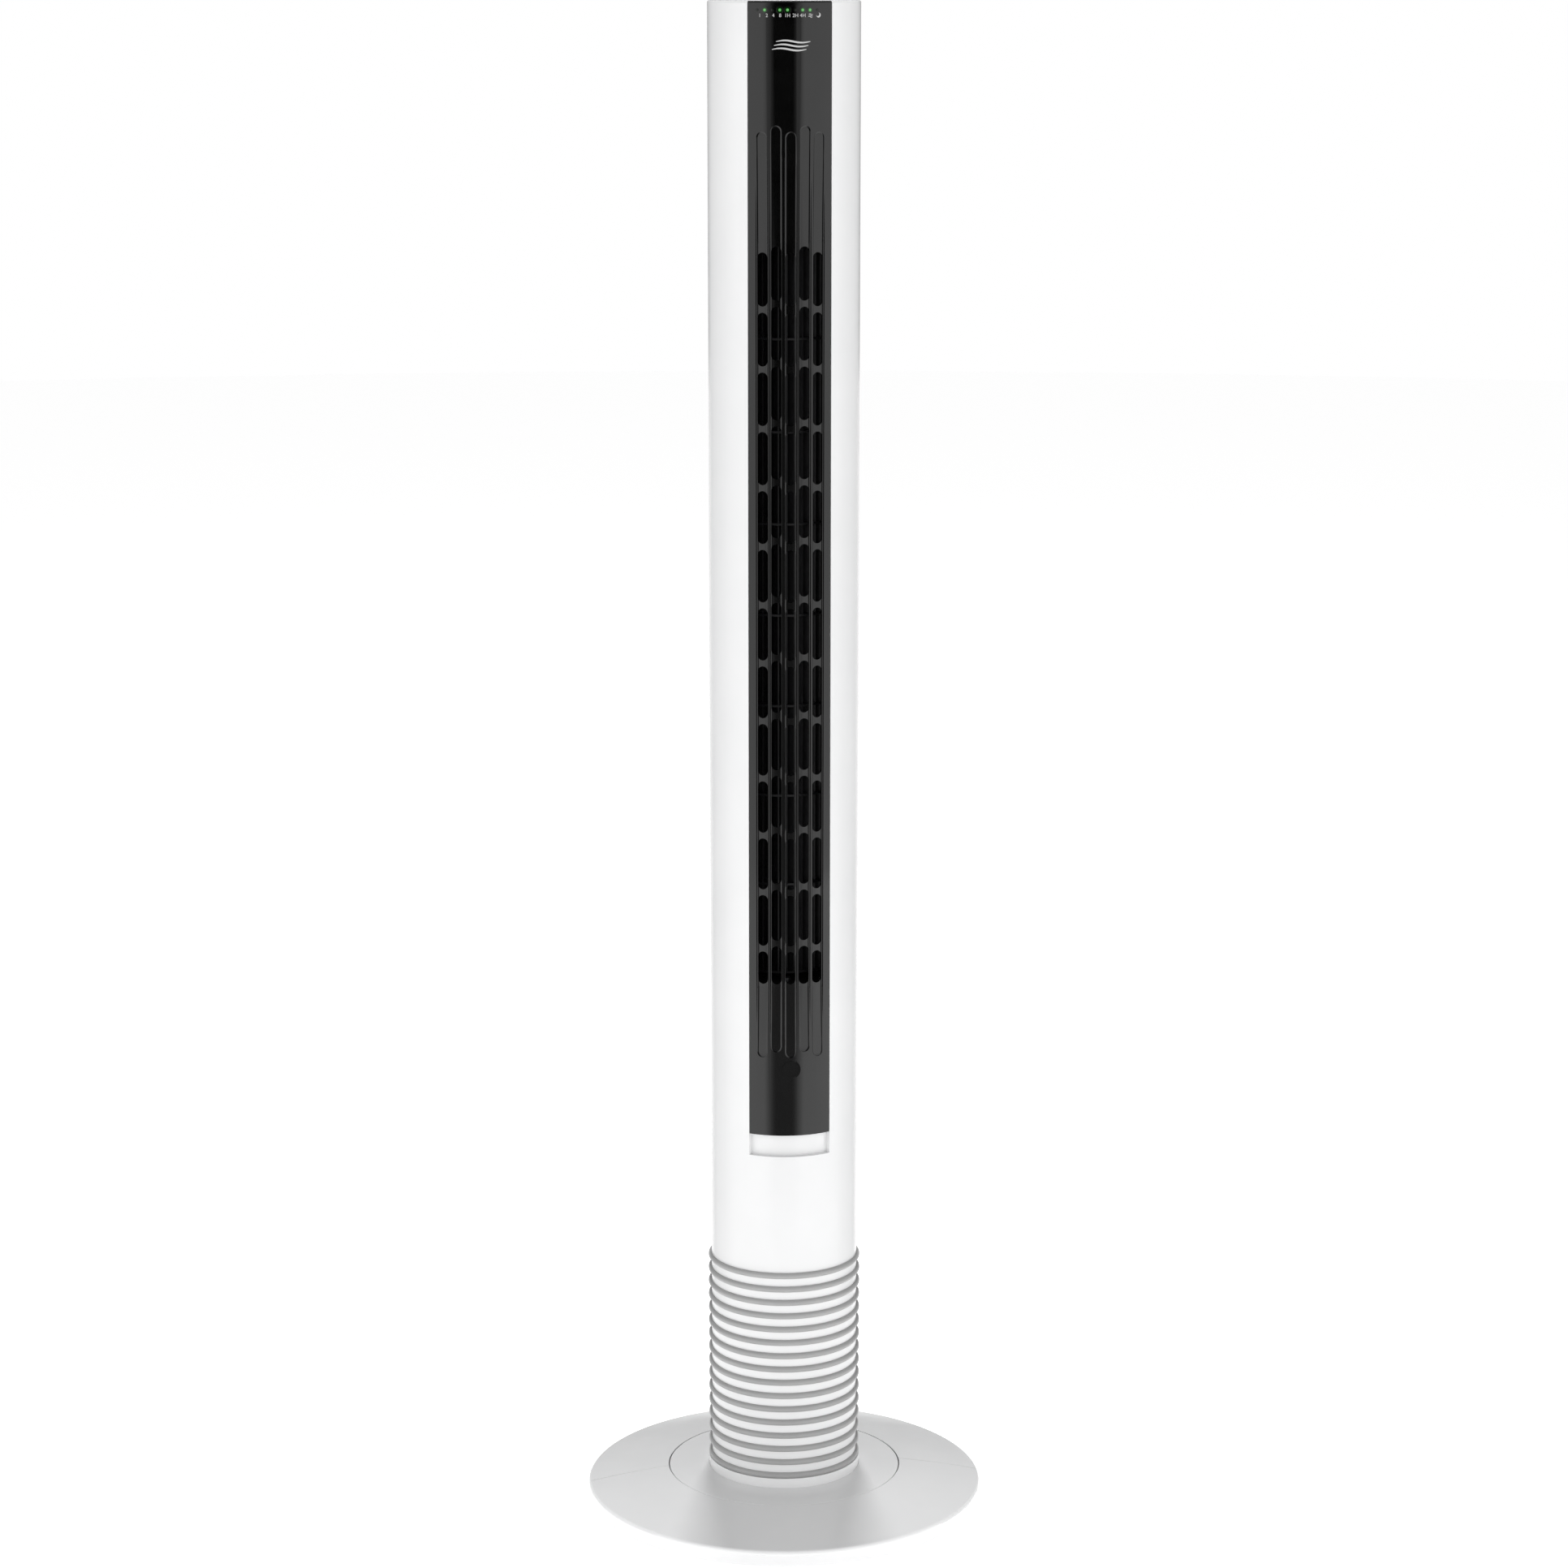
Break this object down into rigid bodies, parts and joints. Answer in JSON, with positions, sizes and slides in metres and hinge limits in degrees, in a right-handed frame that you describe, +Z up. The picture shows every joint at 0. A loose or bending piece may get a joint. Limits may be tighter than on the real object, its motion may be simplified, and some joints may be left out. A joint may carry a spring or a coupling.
{
  "type": "tower fan",
  "caption": "Tall round tower fan: black fluted grille in a white column, ribbed neck, low domed round base; the tower swings and a tall blower wheel turns inside.",
  "frame": {"origin": "on the floor under the centre of the round base", "axes": "+Z up along the tower, air outlet and front panel facing -Y, +X to the viewer's right"},
  "size_m": [0.3192, 0.3192, 1.2],
  "materials": {
    "white_plastic": "satin moulded ABS",
    "black_gloss": "polished black ABS",
    "grey_band": "fine satin",
    "black_plastic": "fine texture",
    "lamp_lit": "clear green lens, lit",
    "lamp_dark": "smoked lens, not lit",
    "rubber": "matt",
    "zinc_screw": "zinc plated",
    "ground_steel": "ground",
    "motor_can": "galvanised sheet",
    "lamination": "varnished laminations",
    "bronze": "sintered",
    "iron": "as cast",
    "acetal": "natural",
    "circuit_board": "solder mask",
    "switch_body": "moulded",
    "button_grey": "satin"
  },
  "bodies": {
    "base": {"base_plate": "white_plastic", "base_cover_front": "white_plastic", "base_cover_rear": "white_plastic", "base_weight": "iron", "rubber_feet": "rubber", "cover_screws": "zinc_screw", "cord_gland": "rubber", "slide_ring": "acetal", "retaining_ring": "acetal", "retainer_screws": "zinc_screw", "swing_motor": "motor_can"},
    "pinion": {"drive_pinion": "acetal"},
    "tower": {"turntable": "white_plastic", "sector_gear": "acetal", "gear_screws": "zinc_screw", "ribbed_column": "white_plastic", "column_bands": "grey_band", "column_screws": "zinc_screw", "front_shell": "white_plastic", "rear_shell": "white_plastic", "front_panel": "black_gloss", "grille_plug": "black_gloss", "grille_screw": "zinc_screw", "indicator_lamps": "lamp_lit", "indicator_lamps_off": "lamp_dark", "lamp_strip": "circuit_board", "top_cap": "white_plastic", "tact_switches": "switch_body", "control_board": "circuit_board", "carry_handle": "white_plastic", "shell_screws": "zinc_screw", "scroll_guide": "black_plastic", "tongue_guide": "black_plastic", "lower_bulkhead": "black_plastic", "upper_bulkhead": "black_plastic", "upper_bush": "bronze", "bush_rubber": "rubber", "motor_can_upper": "motor_can", "motor_can_lower": "motor_can", "motor_stator": "lamination", "motor_bearings": "bronze", "motor_grommets": "rubber", "motor_screws": "zinc_screw", "power_board": "circuit_board", "motor_capacitor": "switch_body"},
    "blower": {"blower_wheel": "black_plastic", "motor_shaft": "ground_steel", "upper_pin": "ground_steel", "motor_rotor": "lamination"},
    "power_button": {"button_power": "button_grey"},
    "speed_button": {"button_speed": "button_grey"},
    "mode_button": {"button_mode": "button_grey"},
    "timer_button": {"button_timer": "button_grey"},
    "swing_button": {"button_swing": "button_grey"}
  },
  "joints": [
    {"name": "tower_swing", "type": "hinge", "parent": "base", "child": "tower", "pos_m": [0, 0, 0.02], "axis": [0, 0, 1], "range_deg": [-45, 45]},
    {"name": "pinion_spin", "type": "hinge", "parent": "base", "child": "pinion", "pos_m": [0, 0.078, 0.018], "axis": [0, 0, 1], "range_deg": [-250, 250]},
    {"name": "blower_spin", "type": "hinge", "parent": "tower", "child": "blower", "pos_m": [0, 0.009, 0.446], "axis": [0, 0, 1], "continuous": true},
    {"name": "power_press", "type": "slide", "parent": "tower", "child": "power_button", "axis": [0, 0, -1], "range_m": [0, 0.0009], "stiffness_N_per_m": 400},
    {"name": "speed_press", "type": "slide", "parent": "tower", "child": "speed_button", "axis": [0, 0, -1], "range_m": [0, 0.0009], "stiffness_N_per_m": 400},
    {"name": "mode_press", "type": "slide", "parent": "tower", "child": "mode_button", "axis": [0, 0, -1], "range_m": [0, 0.0009], "stiffness_N_per_m": 400},
    {"name": "timer_press", "type": "slide", "parent": "tower", "child": "timer_button", "axis": [0, 0, -1], "range_m": [0, 0.0009], "stiffness_N_per_m": 400},
    {"name": "swing_press", "type": "slide", "parent": "tower", "child": "swing_button", "axis": [0, 0, -1], "range_m": [0, 0.0009], "stiffness_N_per_m": 400}
  ],
  "couplings": [
    {"joint": "pinion_spin", "follows": "tower_swing", "ratio": -5.5}
  ]
}
